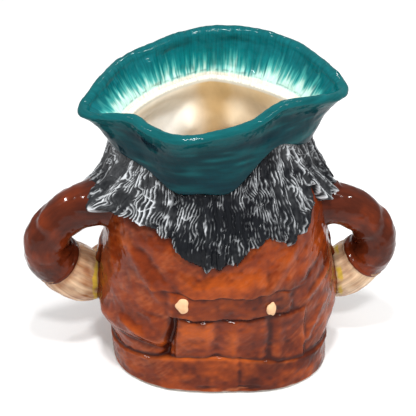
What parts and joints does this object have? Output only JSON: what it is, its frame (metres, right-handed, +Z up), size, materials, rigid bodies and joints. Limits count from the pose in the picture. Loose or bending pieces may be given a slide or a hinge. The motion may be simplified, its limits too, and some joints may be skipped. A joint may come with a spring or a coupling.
{
  "type": "toby jug",
  "caption": "Glazed character jug: a squat figure standing with hands on hips; the hat's turned-up brim is the mouth and the bent arms are the handles.",
  "frame": {"origin": "on the surface the jug stands on, under the middle of the whole jug, arms included", "axes": "+Z up; -Y the way the figure faces; +X to the figure's left"},
  "size_m": [0.1196, 0.0716, 0.1],
  "materials": {
    "glazed_earthenware": "gloss"
  },
  "bodies": {
    "root": {"toby_jug": "glazed_earthenware"}
  },
  "joints": []
}
